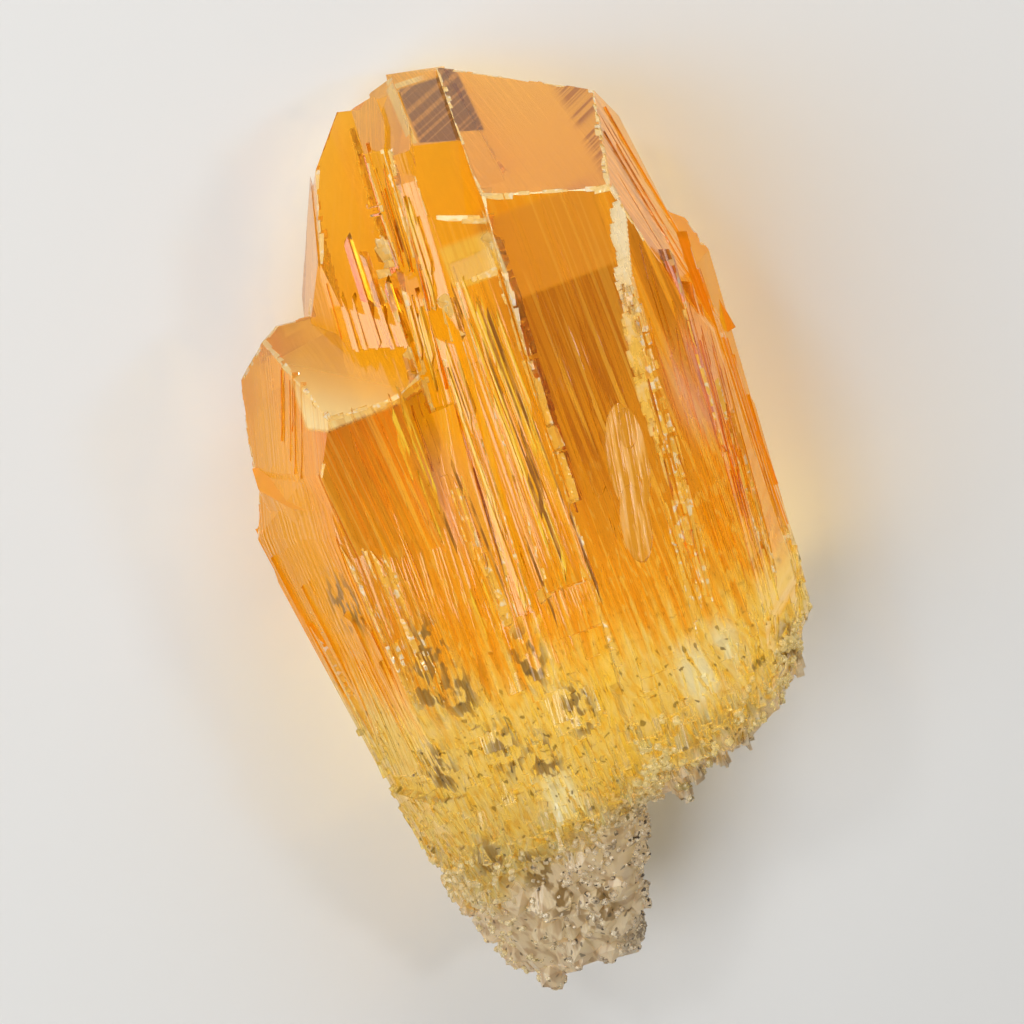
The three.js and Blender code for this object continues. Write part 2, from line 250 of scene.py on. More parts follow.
def place_in_mm():
    """The place on the piece in millimetres: the whole vector, then x, y and z."""
    in_mm = node("ShaderNodeVectorMath", operation="SCALE")
    feed(node("ShaderNodeTexCoord").outputs["Object"], in_mm.inputs[0])
    feed(1 / MM, in_mm.inputs["Scale"])
    axes = node("ShaderNodeSeparateXYZ")
    feed(in_mm.outputs["Vector"], axes.inputs["Vector"])
    return in_mm.outputs["Vector"], *axes.outputs


def crystal_surface(colour, roughness, clarity, normal=None):
    surface = node("ShaderNodeBsdfPrincipled")
    feed(KUNZITE_IOR, surface.inputs["IOR"])
    feed(GLOSS, surface.inputs["Specular IOR Level"])
    feed(colour, surface.inputs["Base Color"])
    feed(roughness, surface.inputs["Roughness"])
    feed(clarity, surface.inputs["Transmission Weight"])
    if normal:
        feed(normal, surface.inputs["Normal"])
    return surface.outputs["BSDF"]


def bumps(height, depth, strength=1.0):
    """A bump of a depth in millimetres."""
    bump = node("ShaderNodeBump")
    feed(depth * MM, bump.inputs["Distance"])
    feed(strength, bump.inputs["Strength"])
    feed(height, bump.inputs["Height"])
    return bump.outputs["Normal"]


def end_finish(surface, volume=None):
    output = node("ShaderNodeOutputMaterial")
    feed(surface, output.inputs["Surface"])
    if volume:
        feed(volume, output.inputs["Volume"])


def give_finish(blank, finish):
    """Gives the faces that a blank makes in the crystal a finish of their own."""
    crystal.data.materials.append(finish)
    for face in blank.data.polygons:
        face.material_index = len(crystal.data.materials) - 1


CHIP_GOLD = (1.0, 0.56, 0.08)
CHIP_HIGHLIGHT_PALE = (1.0, 0.76, 0.36)
CHIP_GLINT_WHITE = (1.0, 0.95, 0.84)
chipped_edge_glint = new_finish("chipped_edge_glint")
here, _, y_mm, _ = place_in_mm()
frost = noise(1.6, here, 1.0)
# Painted highlights: paler gold towards the end faces, and white glints where the frost is strongest.
colour = blend(ramp(y_mm, 12, 22), CHIP_GOLD, CHIP_HIGHLIGHT_PALE)
colour = blend(ramp(frost, 0.56, 0.66), colour, CHIP_GLINT_WHITE)
end_finish(crystal_surface(colour, ramp(frost, 0.4, 0.6, 0.08, 0.25), 0.62, bumps(frost, 0.1)))

bpy.ops.mesh.primitive_cube_add(size=1)
chip_blank = bpy.context.active_object
chip_blank.name = "chip"
give_finish(chip_blank, chipped_edge_glint)
CHIP_WIDTH = 1.0 * MM
SMALLEST_FACE = 1.2 * MM * MM
SHARP = 0.86


def long_edges(low):
    """The outward edges of the large faces above a place y: two ends and the direction between the faces."""
    corners = crystal.data.vertices
    sides = {}
    for face in crystal.data.polygons:
        if face.area > SMALLEST_FACE:
            for key in face.edge_keys:
                sides.setdefault(key, []).append(face)
    for (start, end), faces in sides.items():
        if len(faces) < 2 or min(corners[start].co.y, corners[end].co.y) < low:
            continue
        first, second = faces
        bends = first.normal.dot(second.normal) < SHARP
        if bends and (second.center - first.center).dot(first.normal) < 0:
            outward = (first.normal + second.normal).normalized()
            yield corners[start].co.copy(), corners[end].co.copy(), outward


def lay_chips(spacing, seed, lengths, depths, low, heap):
    """Chips of random length and depth in mm along every long edge above a place y, some mm apart."""
    rng = random.Random(seed)
    for start, end, outward in list(long_edges(low)):
        run = (end - start).normalized()
        place = rng.uniform(0, spacing)
        while place * MM < (end - start).length:
            size = (CHIP_WIDTH, rng.uniform(*lengths) * MM, CHIP_WIDTH)
            out = CHIP_WIDTH / 2 - rng.triangular(*depths, depths[0]) * MM
            spot = start + run * place * MM
            turns = (rng.uniform(-0.06, 0.06), rng.uniform(-0.5, 0.5))
            copy_blank(chip_blank, seat(spot, outward, size, out, *turns, run), heap)
            place += rng.choice((0.4, 0.6, 1.0, 2.0)) * spacing


chips = new_heap("chips", cuts=True)
lay_chips(0.66, 21, (0.4, 2.2), (0.01, 0.13), -9 * MM, chips)
work_in(chips)

# Growth laths and grooves: fine bars along the prism faces, slightly proud of them or sunk in.
# The real ones are steps of growth. Each lies flat on the face under it, and they crowd in the valley.
bpy.ops.mesh.primitive_cube_add(size=1)
lath_blank = bpy.context.active_object
lath_blank.name = "lath"
LATH_TOP = 0.45
LATH_END_SLANT = 0.12
for corner in lath_blank.data.vertices:
    if corner.co.z > 0:
        corner.co.x *= LATH_TOP
    corner.co.y += LATH_END_SLANT * (1 if corner.co.x > 0 else -1)

LATH_ORANGE = (1.0, 0.4, 0.01)
LATH_YELLOW = (1.0, 0.66, 0.04)
bright_lath = new_finish("bright_lath")
_, x_mm, y_mm, z_mm = place_in_mm()
grain = noise(3.0, joined(maths("ADD", x_mm, z_mm), maths("MULTIPLY", y_mm, 0.05)), 2.0, "2D")
colour = blend(ramp(grain, 0.35, 0.6), LATH_ORANGE, LATH_YELLOW)
end_finish(crystal_surface(colour, ramp(grain, 0.4, 0.6, 0.06, 0.2), 0.6, bumps(grain, 0.06)))

pick_only(lath_blank)
bpy.ops.object.duplicate()
bright_blank = bpy.context.active_object
bright_blank.name = "bright_lath"
give_finish(bright_blank, bright_lath)

ALL_ROUND = (-pi, pi)
FRONT = (-1.0, 1.2)
VALLEY = (-0.62, 0.3)
UPPER_LEFT = (-1.4, -0.1)
PROBE = 2 * MM
LATH_SLACK = 0.16 * MM
LATH_THICKNESS = 6
LOWEST_FACING = -0.8
END_FACING = 0.4


def rests_flat(place, normal, out):
    """True where the skin runs evenly under the corners and the middles of a lath."""
    for x in (-0.5, 0.5):
        for y in (-0.5, 0.0, 0.5):
            corner = place @ Vector((x, y, 0))
            found = touch(corner + normal * PROBE, -normal)
            if not found or abs((corner - found[0]).dot(normal) - out) > LATH_SLACK:
                return False
    return True


def lay_laths(blank, count, seed, widths, heights, lengths, span, angles, heap):
    """Laths of random size in mm over a span of y, left out where the skin bends away under them."""
    rng = random.Random(seed)
    for _ in range(count):
        found = find_face(rng.uniform(*angles), rng.uniform(*span) * MM)
        length = rng.uniform(*lengths) * MM
        width = rng.uniform(*widths) * MM
        height = rng.uniform(*heights) * MM
        if not found or found[1].z < LOWEST_FACING or abs(found[1].y) > END_FACING:
            continue
        thick = LATH_THICKNESS * height
        out = thick / 2 - height if heap["cuts"] else height - thick / 2
        place = seat(*found, (width, length, thick), out)
        if rests_flat(place, found[1], out):
            copy_blank(blank, place, heap)


# Each has a count and a seed, then widths, heights, lengths and a span of y, all in mm.
laths = new_heap("laths")
lay_laths(lath_blank, 500, 3, (0.18, 0.6), (0.05, 0.14), (4, 16), (-11, 33), ALL_ROUND, laths)
lay_laths(lath_blank, 500, 13, (0.1, 0.34), (0.05, 0.12), (3, 11), (-11, 12), FRONT, laths)
lay_laths(lath_blank, 200, 17, (0.2, 0.6), (0.12, 0.3), (3, 11), (-2, 28), VALLEY, laths)
lay_laths(bright_blank, 260, 47, (0.25, 0.8), (0.15, 0.4), (3, 12), (-1, 27), VALLEY, laths)
lay_laths(lath_blank, 200, 43, (0.15, 0.5), (0.05, 0.13), (3, 10), (12, 33), UPPER_LEFT, laths)
work_in(laths)

# Grooves cut in the valley, whose floors are painted dark brown as shade.
GAP_SHADE_BROWN = (0.2, 0.06, 0.01)
GAP_ORANGE = (0.6, 0.24, 0.04)
shaded_gap = new_finish("shaded_gap")
_, x_mm, y_mm, z_mm = place_in_mm()
grain = noise(2.0, joined(maths("ADD", x_mm, z_mm), maths("MULTIPLY", y_mm, 0.2)), 1.0, "2D")
end_finish(crystal_surface(blend(ramp(grain, 0.4, 0.6), GAP_SHADE_BROWN, GAP_ORANGE), 0.12, 0.7))

pick_only(lath_blank)
bpy.ops.object.duplicate()
gap_blank = bpy.context.active_object
gap_blank.name = "shaded_gap"
give_finish(gap_blank, shaded_gap)
grooves = new_heap("grooves", cuts=True)
lay_laths(gap_blank, 150, 53, (0.08, 0.3), (0.1, 0.3), (2, 10), (-2, 27), VALLEY, grooves)
lay_laths(lath_blank, 300, 5, (0.12, 0.4), (0.05, 0.12), (4, 14), (-11, 33), ALL_ROUND, grooves)
lay_laths(lath_blank, 500, 15, (0.08, 0.24), (0.05, 0.1), (2.5, 10), (-10, 13), FRONT, grooves)
work_in(grooves)

# Healed crack: a bright, tapering band down the right of the largest face, where the crystal
# split and grew shut. It is a row of shallow cuts, frosted white at the top and golden below,
# and its left edge is ragged. These sizes are in millimetres.
CRACK_FOOT_X = 10.1
CRACK_FOOT_Y = 4.8
CRACK_TOP_Y = 26.2
CRACK_LEAN = 0.1
CRACK_BEND = 0.0042
CRACK_SPREAD = 0.11
CRACK_WIDEST = 1.2
CRACK_DEPTH = 0.1
CRACK_TIP = 0.12
CRACK_STEP = 0.33
CRACK_CUT = 1.9 * CRACK_STEP
CRACK_GOLD = (1.0, 0.6, 0.1)
CRACK_WHITE = (1.0, 0.92, 0.74)

healed_crack = new_finish("healed_crack")
_, x_mm, y_mm, _ = place_in_mm()
frost = noise(1.2, joined(maths("MULTIPLY", x_mm, 1.6), maths("MULTIPLY", y_mm, 0.6)), 3.0, "2D")
whiteness = maths("ADD", ramp(y_mm, 15, 23), ramp(frost, 0.5, 0.7, 0, 0.3))
colour = blend(whiteness, CRACK_GOLD, CRACK_WHITE)
end_finish(crystal_surface(colour, ramp(frost, 0.4, 0.6, 0.15, 0.4), 0.55, bumps(frost, 0.06)))

bpy.ops.mesh.primitive_cube_add(size=1)
crack_blank = bpy.context.active_object
crack_blank.name = "crack_step"
give_finish(crack_blank, healed_crack)
rng = random.Random(37)
crack = new_heap("crack", cuts=True)
y = CRACK_FOOT_Y
while y < CRACK_TOP_Y:
    above_foot = y - CRACK_FOOT_Y
    width = min(CRACK_WIDEST, CRACK_SPREAD * above_foot + CRACK_TIP) * rng.uniform(0.75, 1.1)
    right_edge = CRACK_FOOT_X + (CRACK_LEAN + CRACK_BEND * above_foot) * above_foot
    face = face_above((right_edge - width / 2) * MM, y * MM)
    if face:
        depth = CRACK_DEPTH * rng.uniform(0.7, 1.2)
        size = (width * MM, CRACK_CUT * MM, 2 * depth * MM)
        copy_blank(crack_blank, seat(*face, size, 0), crack)
    y += CRACK_STEP
work_in(crack)

# Etch mark: a shallow, rounded hollow low on the same face, where the crystal began to dissolve.
# Three overlapping round cuts make its outline, and fine streaks run down its smooth floor.
bpy.ops.mesh.primitive_cylinder_add(vertices=36, radius=0.5, depth=1)
hollow_blank = bpy.context.active_object
hollow_blank.name = "hollow"

HOLLOW_BROWN = (0.72, 0.27, 0.01)
HOLLOW_GOLD = (1.0, 0.5, 0.13)
HOLLOW_PINK = (1.0, 0.58, 0.3)
etched_hollow = new_finish("etched_hollow")
_, x_mm, y_mm, _ = place_in_mm()
along_mark = maths("MULTIPLY_ADD", y_mm, -0.16, x_mm)
streaks = noise(2.6, joined(along_mark, maths("MULTIPLY", y_mm, 0.06)), 2.0, "2D")
colour = blend(ramp(streaks, 0.5, 0.6), HOLLOW_BROWN, HOLLOW_GOLD)
colour = blend(ramp(streaks, 0.6, 0.68), colour, HOLLOW_PINK)
end_finish(crystal_surface(colour, 0.08, 0.7, bumps(streaks, 0.2)))
give_finish(hollow_blank, etched_hollow)
ETCH_PLACES = (
    # x, y, width, length
    (7.9, 7.4, 3.0, 8.6),
    (6.9, 2.6, 2.2, 6.0),
    (8.6, 9.6, 1.3, 3.0),
)
ETCH_DEPTH = 0.28
ETCH_LEAN = 0.16
etch_marks = new_heap("etch_marks", cuts=True)
for x, y, width, length in ETCH_PLACES:
    spot, normal = face_above(x * MM, y * MM)
    size = (width * MM, length * MM, 2 * ETCH_DEPTH * MM)
    copy_blank(hollow_blank, seat(spot, normal, size, 0, run=Vector((ETCH_LEAN, 1, 0))), etch_marks)
work_in(etch_marks)

# Etched zone: the lower third is eaten into small blocks and pits along the axis.
# Their ends make the ragged border between the clear orange crystal and the yellow zone.
bpy.ops.mesh.primitive_cube_add(size=1)
block_blank = bpy.context.active_object
block_blank.name = "block"


def lay_blocks(count, seed, widths, lengths, depth, outs, span, heap):
    """Blocks of random size in mm all round, most of them near the lower end of a span of y."""
    rng = random.Random(seed)
    for _ in range(count):
        face = find_face(rng.uniform(*ALL_ROUND), rng.triangular(*span, span[0]) * MM)
        if not face or face[1].z < LOWEST_FACING:
            continue
        size = (rng.uniform(*widths) * MM, rng.uniform(*lengths) * MM, depth * MM)
        out = (rng.uniform(*outs) - depth / 2) * MM
        turns = (rng.uniform(-0.15, 0.15), rng.uniform(-0.5, 0.5))
        copy_blank(block_blank, seat(*face, size, out, *turns), heap)


blocks = new_heap("blocks")
lay_blocks(900, 7, (0.18, 0.7), (0.5, 2.2), 1.0, (0.03, 0.24), (-22, -6), blocks)
work_in(blocks)
pits = new_heap("pits", cuts=True)
lay_blocks(420, 27, (0.12, 0.4), (0.5, 2.0), 0.6, (0.35, 0.5), (-22, -7), pits)
work_in(pits)

# Root: crumbly, sugary matter where the crystal broke off its matrix, with fine grains all over it.
# Coarser grains edge the break on the lower right, and a small clump of them sits at its far end.
bpy.ops.mesh.primitive_ico_sphere_add(subdivisions=1, radius=1)
grain_blank = bpy.context.active_object
grain_blank.name = "grain"

GRAIN_PALE = (1.0, 0.88, 0.66)
GRAIN_DARK = (0.78, 0.62, 0.42)
GRAIN_YELLOW = (0.95, 0.78, 0.3)
GRAIN_STRAW = (1.0, 0.84, 0.4)
STREAK_BROWN = (0.2, 0.15, 0.1)
SPECK_BLACK = (0.06, 0.045, 0.035)
sugary_root = new_finish("sugary_root")
here, x_mm, y_mm, _ = place_in_mm()
patches = noise(0.55, here, 3.0)
grit = noise(2.2, here, 2.0)
colour = blend(ramp(grit, 0.42, 0.6), GRAIN_PALE, GRAIN_DARK)
off_streak = maths("ABSOLUTE", maths("MULTIPLY_ADD", x_mm, 1.3, maths("ADD", y_mm, 39.5)))
dark_streak = maths("MULTIPLY", ramp(off_streak, 2.2, 0.4), ramp(grit, 0.4, 0.5))
dark_share = maths("MAXIMUM", ramp(patches, 0.55, 0.66), dark_streak)
colour = blend(maths("MULTIPLY", dark_share, 0.75), colour, STREAK_BROWN)
colour = blend(ramp(noise(2.6, here, 0.0), 0.66, 0.7), colour, SPECK_BLACK)
colour = blend(maths("MULTIPLY", ramp(y_mm, -24, -19), 0.8), colour, GRAIN_YELLOW)
colour = blend(ramp(x_mm, -9, -14, 0, 0.6), colour, GRAIN_STRAW)
end_finish(crystal_surface(colour, ramp(grit, 0.4, 0.6, 0.12, 0.4), 0.45, bumps(grit, 0.15)))
give_finish(grain_blank, sugary_root)
BREAK_SIDE = (0.1, 1.7)
CLUMP_SPOT = (15.2, -13.4)
CLUMP_REACH = 0.9
GRAIN_SUNK = 0.25


def lay_grain(spot, normal, radius, rng, heap):
    size = [radius * rng.uniform(0.7, 1.2) for _ in range(3)]
    turns = (rng.uniform(*ALL_ROUND), rng.uniform(*ALL_ROUND))
    copy_blank(grain_blank, seat(spot, normal, size, -GRAIN_SUNK * radius, *turns), heap)


def lay_grains(count, seed, radii, span, angles, heap, steepest=1.0):
    """Grains of random radius in mm on faces whose normal has at most `steepest` along y."""
    rng = random.Random(seed)
    for _ in range(count):
        face = find_face(rng.uniform(*angles), rng.uniform(*span) * MM)
        if face and face[1].y <= steepest:
            lay_grain(*face, rng.uniform(*radii) * MM, rng, heap)


grains = new_heap("grains")
lay_grains(2600, 9, (0.16, 0.42), (-36.6, -20.5), ALL_ROUND, grains)
lay_grains(700, 19, (0.2, 0.5), (-22, -12.5), BREAK_SIDE, grains, steepest=-0.3)
rng = random.Random(41)
for _ in range(26):
    x, y = (centre + rng.uniform(-CLUMP_REACH, CLUMP_REACH) for centre in CLUMP_SPOT)
    face = face_above(x * MM, y * MM)
    if face:
        lay_grain(*face, rng.uniform(0.25, 0.6) * MM, rng, grains)
work_in(grains)

blanks = [chip_blank, lath_blank, bright_blank, gap_blank]
blanks += [crack_blank, hollow_blank, block_blank, grain_blank]
for blank in blanks:
    bpy.data.meshes.remove(blank.data)

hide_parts("kunzite_crystal")
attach(crystal, "root")

# Kunzite: clear and golden, so light crosses it and comes out orange.
# The etched zone is yellower and hazy, and the root is pale and nearly opaque.
golden_kunzite = new_finish("golden_kunzite")
_, x_mm, y_mm, z_mm = place_in_mm()


def times(*shares):
    product = shares[0]
    for share in shares[1:]:
        product = maths("MULTIPLY", product, share)
    return product


def within(value, low, low_full, high_full, high):
    """A share that rises from low to low_full and falls again from high_full to high."""
    return times(ramp(value, low, low_full), ramp(value, high, high_full))


def nearest(places):
    """How far the nearest of some places (x, y) is in mm, where 2 mm along y count as 1."""
    flat = joined(x_mm, maths("MULTIPLY", y_mm, 0.5))
    least = None
    for x, y in places:
        gap = node("ShaderNodeVectorMath", operation="DISTANCE")
        feed(flat, gap.inputs[0])
        gap.inputs[1].default_value = (x, y / 2, 0)
        least = maths("MINIMUM", least, gap.outputs["Value"]) if least else gap.outputs["Value"]
    return least


# Patterns: growth lines run along the crystal, so their noise is nearly even along y.
around = maths("ADD", maths("MULTIPLY", x_mm, 0.9), maths("MULTIPLY", z_mm, 0.7))
striae = noise(3.2, joined(around, maths("MULTIPLY", y_mm, 0.012)), 1.5, "2D")
dashes = noise(3.6, joined(around, maths("MULTIPLY", y_mm, 0.16)), 1.0, "2D")
streaks = noise(1.5, joined(around, maths("MULTIPLY", y_mm, 0.04)), 1.0, "2D")
matter = noise(1.5, joined(around, maths("MULTIPLY", y_mm, 0.45)), 1.5, "2D")
specks = noise(2.4, joined(around, maths("MULTIPLY", y_mm, 0.6)), 0.0, "2D")

# Zones: clear, etched below about y = -7 mm, and crumbly at the root.
ragged = maths("MULTIPLY_ADD", maths("SUBTRACT", streaks, 0.5), 10, y_mm)
etched = ramp(ragged, -2.5, -8.5)
slanted = maths("MULTIPLY_ADD", x_mm, -0.35, y_mm)
crumbly = ramp(maths("MULTIPLY_ADD", matter, 4, slanted), -16.5, -20)
front = ramp(z_mm, 11, 15)

# The side faces carry growth lines, and the back, where it lay in the pocket, is frosted.
turned = node("ShaderNodeSeparateXYZ")
feed(node("ShaderNodeNewGeometry").outputs["True Normal"], turned.inputs["Vector"])
side_face = ramp(maths("ABSOLUTE", turned.outputs["Y"]), 0.6, 0.3)
under_face = ramp(z_mm, 3.4, 1.6)
lines_here = times(side_face, ramp(y_mm, 20, 8, 0.35, 1.0))

# The hearts of the largest prism and the short one, and a striped strip on the right, darkened as
# painted shade; a pale cap above the largest heart, painted as a reflection; and the glowing valley.
heart_sides = within(x_mm, 2.6, 4.6, 10.5, 13.5)
heart_front = ramp(z_mm, 16, 19)
heart_shade = times(heart_sides, heart_front, ramp(y_mm, 21.5, 21.1), ramp(y_mm, -2, 11))
cap_reflection = times(heart_sides, heart_front, within(y_mm, 21.1, 21.5, 27.0, 27.6))
left_sides = within(x_mm, -12.8, -11.4, -6.5, -5)
left_heart_shade = times(left_sides, ramp(y_mm, 17, 16.6), ramp(y_mm, 3, 13), ramp(z_mm, 14, 17))
right_shade = times(within(x_mm, 12.6, 13.6, 16.4, 17.5), ramp(y_mm, 8, 17), ramp(striae, 0.42, 0.58))
heart_shade = maths("MAXIMUM", heart_shade, right_shade)
across_valley = maths("MULTIPLY_ADD", y_mm, -0.075, x_mm)
valley = times(within(across_valley, -6.4, -4.4, 1.2, 2.8), ramp(y_mm, -4, 8))

# Painted light: a golden glow on the outer edges, and two faint lilac veils of painted sheen.
edge_glow = maths("MAXIMUM", ramp(x_mm, -12.5, -16), ramp(x_mm, 15, 18))
SHEEN_PLACES = ((14.5, 10.5), (-4.6, 8.5))
SHEEN_REACH = 3.2
near_sheen = ramp(nearest(SHEEN_PLACES), SHEEN_REACH, SHEEN_REACH / 4)
lilac_sheen = times(near_sheen, ramp(streaks, 0.35, 0.6, 0.15, 0.6), ramp(z_mm, 12, 15))

# A smoky window in the tall end face, with a painted highlight along its rim at the upper left.
end_face = ramp(y_mm, 30.4, 30.8)
smoke_slope = maths("MULTIPLY_ADD", x_mm, 0.5, z_mm)
smoke_ends = times(ramp(z_mm, 13.7, 13.5), ramp(smoke_slope, 6.4, 7.0))
smoke = times(within(x_mm, 2.0, 2.3, 6.7, 7.0), smoke_ends, end_face)
rim_left = times(within(x_mm, 1.3, 1.5, 1.9, 2.1), smoke_ends)
rim_top = times(within(smoke_slope, 5.7, 5.9, 6.4, 6.6), within(x_mm, 1.5, 1.7, 3.6, 4.6))
rim_highlight = times(maths("MAXIMUM", rim_left, rim_top), end_face)

# Painted highlights on two small end faces: a pale one beside the cap, and a corner of the short prism's
# end.
step_highlight = times(within(x_mm, 0.6, 0.8, 4.4, 4.6), within(y_mm, 23.0, 23.2, 25.6, 26.2))
step_highlight = times(step_highlight, ramp(z_mm, 17.5, 18))
on_left_end = times(within(x_mm, -13, -12.6, -3.8, -3.4), ramp(y_mm, 16.5, 16.9))
from_corner = maths("MULTIPLY_ADD", x_mm, 0.45, y_mm)
end_highlight = maths("MAXIMUM", step_highlight, times(on_left_end, ramp(from_corner, 16.5, 11.5)))

# Flecks of dark matter in the etched zone and the root, and a painted glow at a few places.
DARK_PLACES = (
    (-10.3, -1.6),
    (-9.6, -5.6),
    (-11.6, -4.4),
    (-8.1, -11.6),
    (-5.6, -13.4),
    (-1.8, -10.4),
    (-3.8, -5.0),
    (-15.0, 3.2),
    (-13.2, -11.5),
    (-12.4, -20.9),
    (-9.4, -23.4),
    (-8.2, -27.6),
    (-5.4, -29.6),
    (15.2, -13.6),
)
DARK_REACH = 1.9
GLOW_PLACES = (
    (7.4, -10.6),
    (10.0, -9.8),
    (-5.4, -17.4),
)
GLOW_REACH = 2.2
near_dark = ramp(nearest(DARK_PLACES), DARK_REACH, DARK_REACH / 3)
inclusion = times(near_dark, ramp(matter, 0.47, 0.56), front)
near_painted_glow = ramp(nearest(GLOW_PLACES), GLOW_REACH, GLOW_REACH / 4)
painted_glow = times(near_painted_glow, front, ramp(streaks, 0.3, 0.55))
speck = times(ramp(specks, 0.77, 0.84, 0, 0.8), ramp(y_mm, 0, -10))

CLEAR = (1.0, 0.44, 0.035)
DEEP = (0.95, 0.34, 0.012)
# The two heart colours are painted shade.
HEART_SHADE = (0.36, 0.1, 0.001)
LEFT_HEART_SHADE = (0.9, 0.22, 0.001)
LEFT_END = (1.0, 0.46, 0.02)
HIGHLIGHT_PALE = (1.0, 0.86, 0.46)
VALLEY_GOLD = (1.0, 0.47, 0.02)
# A painted reflection over the largest heart.
CAP_REFLECTION = (0.72, 0.28, 0.07)
SMOKE = (0.13, 0.045, 0.008)
SMOKE_STREAK = (0.42, 0.17, 0.04)
RIM_HIGHLIGHT = (1.0, 0.92, 0.78)
DARK_LINE = (0.72, 0.3, 0.02)
PALE_LINE = (1.0, 0.66, 0.24)
PALE_DASH = (1.0, 0.8, 0.42)
EDGE_GLOW_GOLD = (1.0, 0.44, 0.015)
SHEEN_LILAC = (0.82, 0.46, 0.6)
YELLOW = (1.0, 0.91, 0.42)
YELLOW_PALE = (1.0, 0.96, 0.62)
HONEY = (0.95, 0.7, 0.2)
PAINTED_GLOW_GOLD = (1.0, 0.96, 0.6)
FROST_GOLD = (1.0, 0.92, 0.62)
SUGAR = (0.96, 0.84, 0.62)
SUGAR_DARK = (0.68, 0.53, 0.35)
DARK_MATTER = (0.26, 0.15, 0.04)
SPECK = (0.07, 0.06, 0.05)
colour = blend(times(side_face, ramp(streaks, 0.35, 0.65)), CLEAR, DEEP)
colour = blend(valley, colour, VALLEY_GOLD)
# Painted reflection: the pale cap above the largest heart.
colour = blend(cap_reflection, colour, CAP_REFLECTION)
# Painted shade: the hearts of both prisms and the strip on the right are darkened.
colour = blend(heart_shade, colour, HEART_SHADE)
colour = blend(left_heart_shade, colour, LEFT_HEART_SHADE)
colour = blend(on_left_end, colour, LEFT_END)
# Painted highlights on two small end faces.
colour = blend(end_highlight, colour, HIGHLIGHT_PALE)
colour = blend(smoke, colour, blend(ramp(streaks, 0.5, 0.62), SMOKE, SMOKE_STREAK))
# Painted highlight on the window's rim.
colour = blend(rim_highlight, colour, RIM_HIGHLIGHT)
colour = blend(times(ramp(striae, 0.5, 0.6, 0, 0.85), lines_here), colour, DARK_LINE)
colour = blend(times(ramp(striae, 0.44, 0.36, 0, 0.8), lines_here), colour, PALE_LINE)
colour = blend(times(ramp(dashes, 0.62, 0.7), ramp(y_mm, 12, -2, 0.0, 0.7)), colour, PALE_DASH)
# Painted glow: the outer edges are a deeper gold.
colour = blend(edge_glow, colour, EDGE_GLOW_GOLD)
# Painted sheen: two faint lilac patches on the front.
colour = blend(lilac_sheen, colour, SHEEN_LILAC)
fibres = blend(ramp(dashes, 0.48, 0.36), YELLOW, HONEY)
fibres = blend(ramp(dashes, 0.56, 0.66), fibres, YELLOW_PALE)
colour = blend(etched, colour, fibres)
# Painted glow: pale gold patches low on the front.
colour = blend(painted_glow, colour, PAINTED_GLOW_GOLD)
colour = blend(under_face, colour, FROST_GOLD)
colour = blend(crumbly, colour, blend(ramp(matter, 0.45, 0.65), SUGAR, SUGAR_DARK))
colour = blend(times(inclusion, 0.9), colour, DARK_MATTER)
colour = blend(speck, colour, SPECK)

roughness = fade(under_face, 0.02, 0.5)
roughness = fade(etched, roughness, 0.15)
roughness = fade(crumbly, roughness, 0.3)

clarity = fade(side_face, 0.74, 0.9)
clarity = fade(edge_glow, clarity, 0.5)
clarity = fade(smoke, clarity, 0.9)
clarity = fade(maths("MAXIMUM", end_highlight, lilac_sheen), clarity, 0.42)
clarity = fade(rim_highlight, clarity, 0.25)
clarity = fade(valley, clarity, 0.93)
clarity = fade(etched, clarity, 0.78)
clarity = fade(painted_glow, clarity, 0.35)
clarity = fade(under_face, clarity, 0.3)
clarity = fade(crumbly, clarity, 0.5)
clarity = fade(inclusion, clarity, 0.3)

STRIAE_DEPTH = 0.15
ABSORBED_GOLD = (0.995, 0.9, 0.14)
ABSORBED_PER_METRE = 60
line_strength = times(side_face, ramp(y_mm, 24, 8, 0.25, 1.0))
surface = crystal_surface(colour, roughness, clarity, bumps(striae, STRIAE_DEPTH, line_strength))
absorb = node("ShaderNodeVolumeAbsorption")
feed(ABSORBED_GOLD, absorb.inputs["Color"])
feed(ABSORBED_PER_METRE, absorb.inputs["Density"])

# Lamps shine through the clear part and tint what is under it, but hardly through the root.
LAMP_GOLD = (0.94, 0.8, 0.48)
LAMP_ROOT = (0.3, 0.27, 0.2)
gold_light = node("ShaderNodeBsdfTransparent")
feed(blend(ramp(slanted, -17, -20), LAMP_GOLD, LAMP_ROOT), gold_light.inputs["Color"])
lit_through = node("ShaderNodeMixShader")
feed(node("ShaderNodeLightPath").outputs["Is Shadow Ray"], lit_through.inputs["Fac"])
feed(surface, lit_through.inputs[1])
feed(gold_light.outputs["BSDF"], lit_through.inputs[2])
end_finish(lit_through.outputs["Shader"], absorb.outputs["Volume"])

crystal.data.materials[0] = golden_kunzite
pick_only(crystal)
bpy.ops.object.material_slot_remove_unused()

# Floor: a plain pale sweep that the crystal lies on. It belongs to the studio.
bpy.ops.mesh.primitive_plane_add(size=4, location=(0, 0, -0.05 * MM))
floor = bpy.context.active_object
floor.name = "floor"
paper = bpy.data.materials.new("paper")
paper.use_nodes = True
matte = paper.node_tree.nodes["Principled BSDF"]
matte.inputs["Base Color"].default_value = (0.8, 0.8, 0.79, 1)
matte.inputs["Roughness"].default_value = 0.9
floor.data.materials.append(paper)


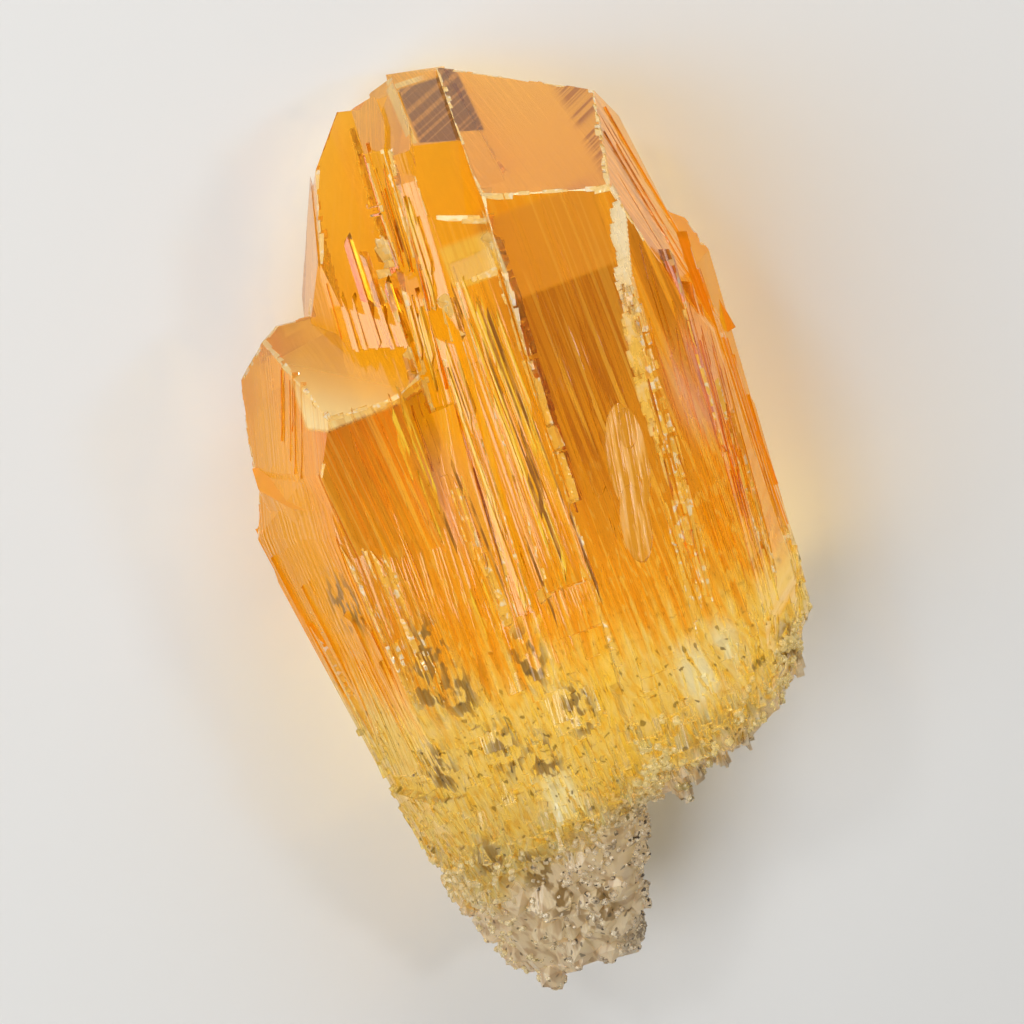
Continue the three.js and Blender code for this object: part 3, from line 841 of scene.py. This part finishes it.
# Light: a broad soft lamp at the upper left, a low one behind the end faces that shines
# along the crystal, two small ones that give glints on edges and grains, and a pale room.
def add_lamp(name, place, size, power):
    lamp = bpy.data.lights.new(name, "AREA")
    lamp.size = size
    lamp.energy = power
    holder = bpy.data.objects.new(name, lamp)
    holder.location = place
    holder.rotation_euler = (Vector((0, 0, 0.01)) - Vector(place)).to_track_quat("-Z", "Y").to_euler()
    bpy.context.collection.objects.link(holder)


add_lamp("key", (-0.34, 0.05, 0.4), 0.4, 1.75)
add_lamp("back", (0.24, 0.42, 0.24), 0.3, 1.4)
add_lamp("left_glint", (-0.16, 0.3, 0.3), 0.05, 0.22)
add_lamp("right_glint", (0.3, -0.02, 0.34), 0.05, 0.22)
room = bpy.data.worlds.new("room")
room.use_nodes = True
walls = room.node_tree.nodes["Background"]
walls.inputs["Color"].default_value = (1, 0.95, 0.87, 1)
walls.inputs["Strength"].default_value = 0.17
bpy.context.scene.world = room

# Camera: looks down on the crystal as the photograph does, leaning towards the end faces,
# and turned so that the long axis points up and to the left.
TILT = radians(18)
LEAN = radians(21)
AIM = Vector((-1.13, 3.32, 11)) * MM
DISTANCE = 170 * MM
FOCAL = 78.0
back = Vector((0, sin(TILT), cos(TILT)))
level = Vector((1, 0, 0))
upright = Vector((0, cos(TILT), -sin(TILT)))
right = cos(LEAN) * level - sin(LEAN) * upright
up = sin(LEAN) * level + cos(LEAN) * upright
lens = bpy.data.cameras.new("photo_view")
lens.lens = FOCAL
lens.sensor_width = 36
camera = bpy.data.objects.new("photo_view", lens)
stand = Matrix.Translation(AIM + DISTANCE * back)
camera.matrix_world = stand @ Matrix((right, up, back)).transposed().to_4x4()
bpy.context.collection.objects.link(camera)
scene = bpy.context.scene
scene.camera = camera

# Short light paths are enough, because the golden skin tints the light at each crossing.
scene.cycles.adaptive_threshold = 0.05
scene.cycles.max_bounces = 7
scene.cycles.diffuse_bounces = 2
scene.cycles.glossy_bounces = 4
scene.cycles.transmission_bounces = 7
scene.cycles.caustics_reflective = False
scene.view_settings.view_transform = "Standard"
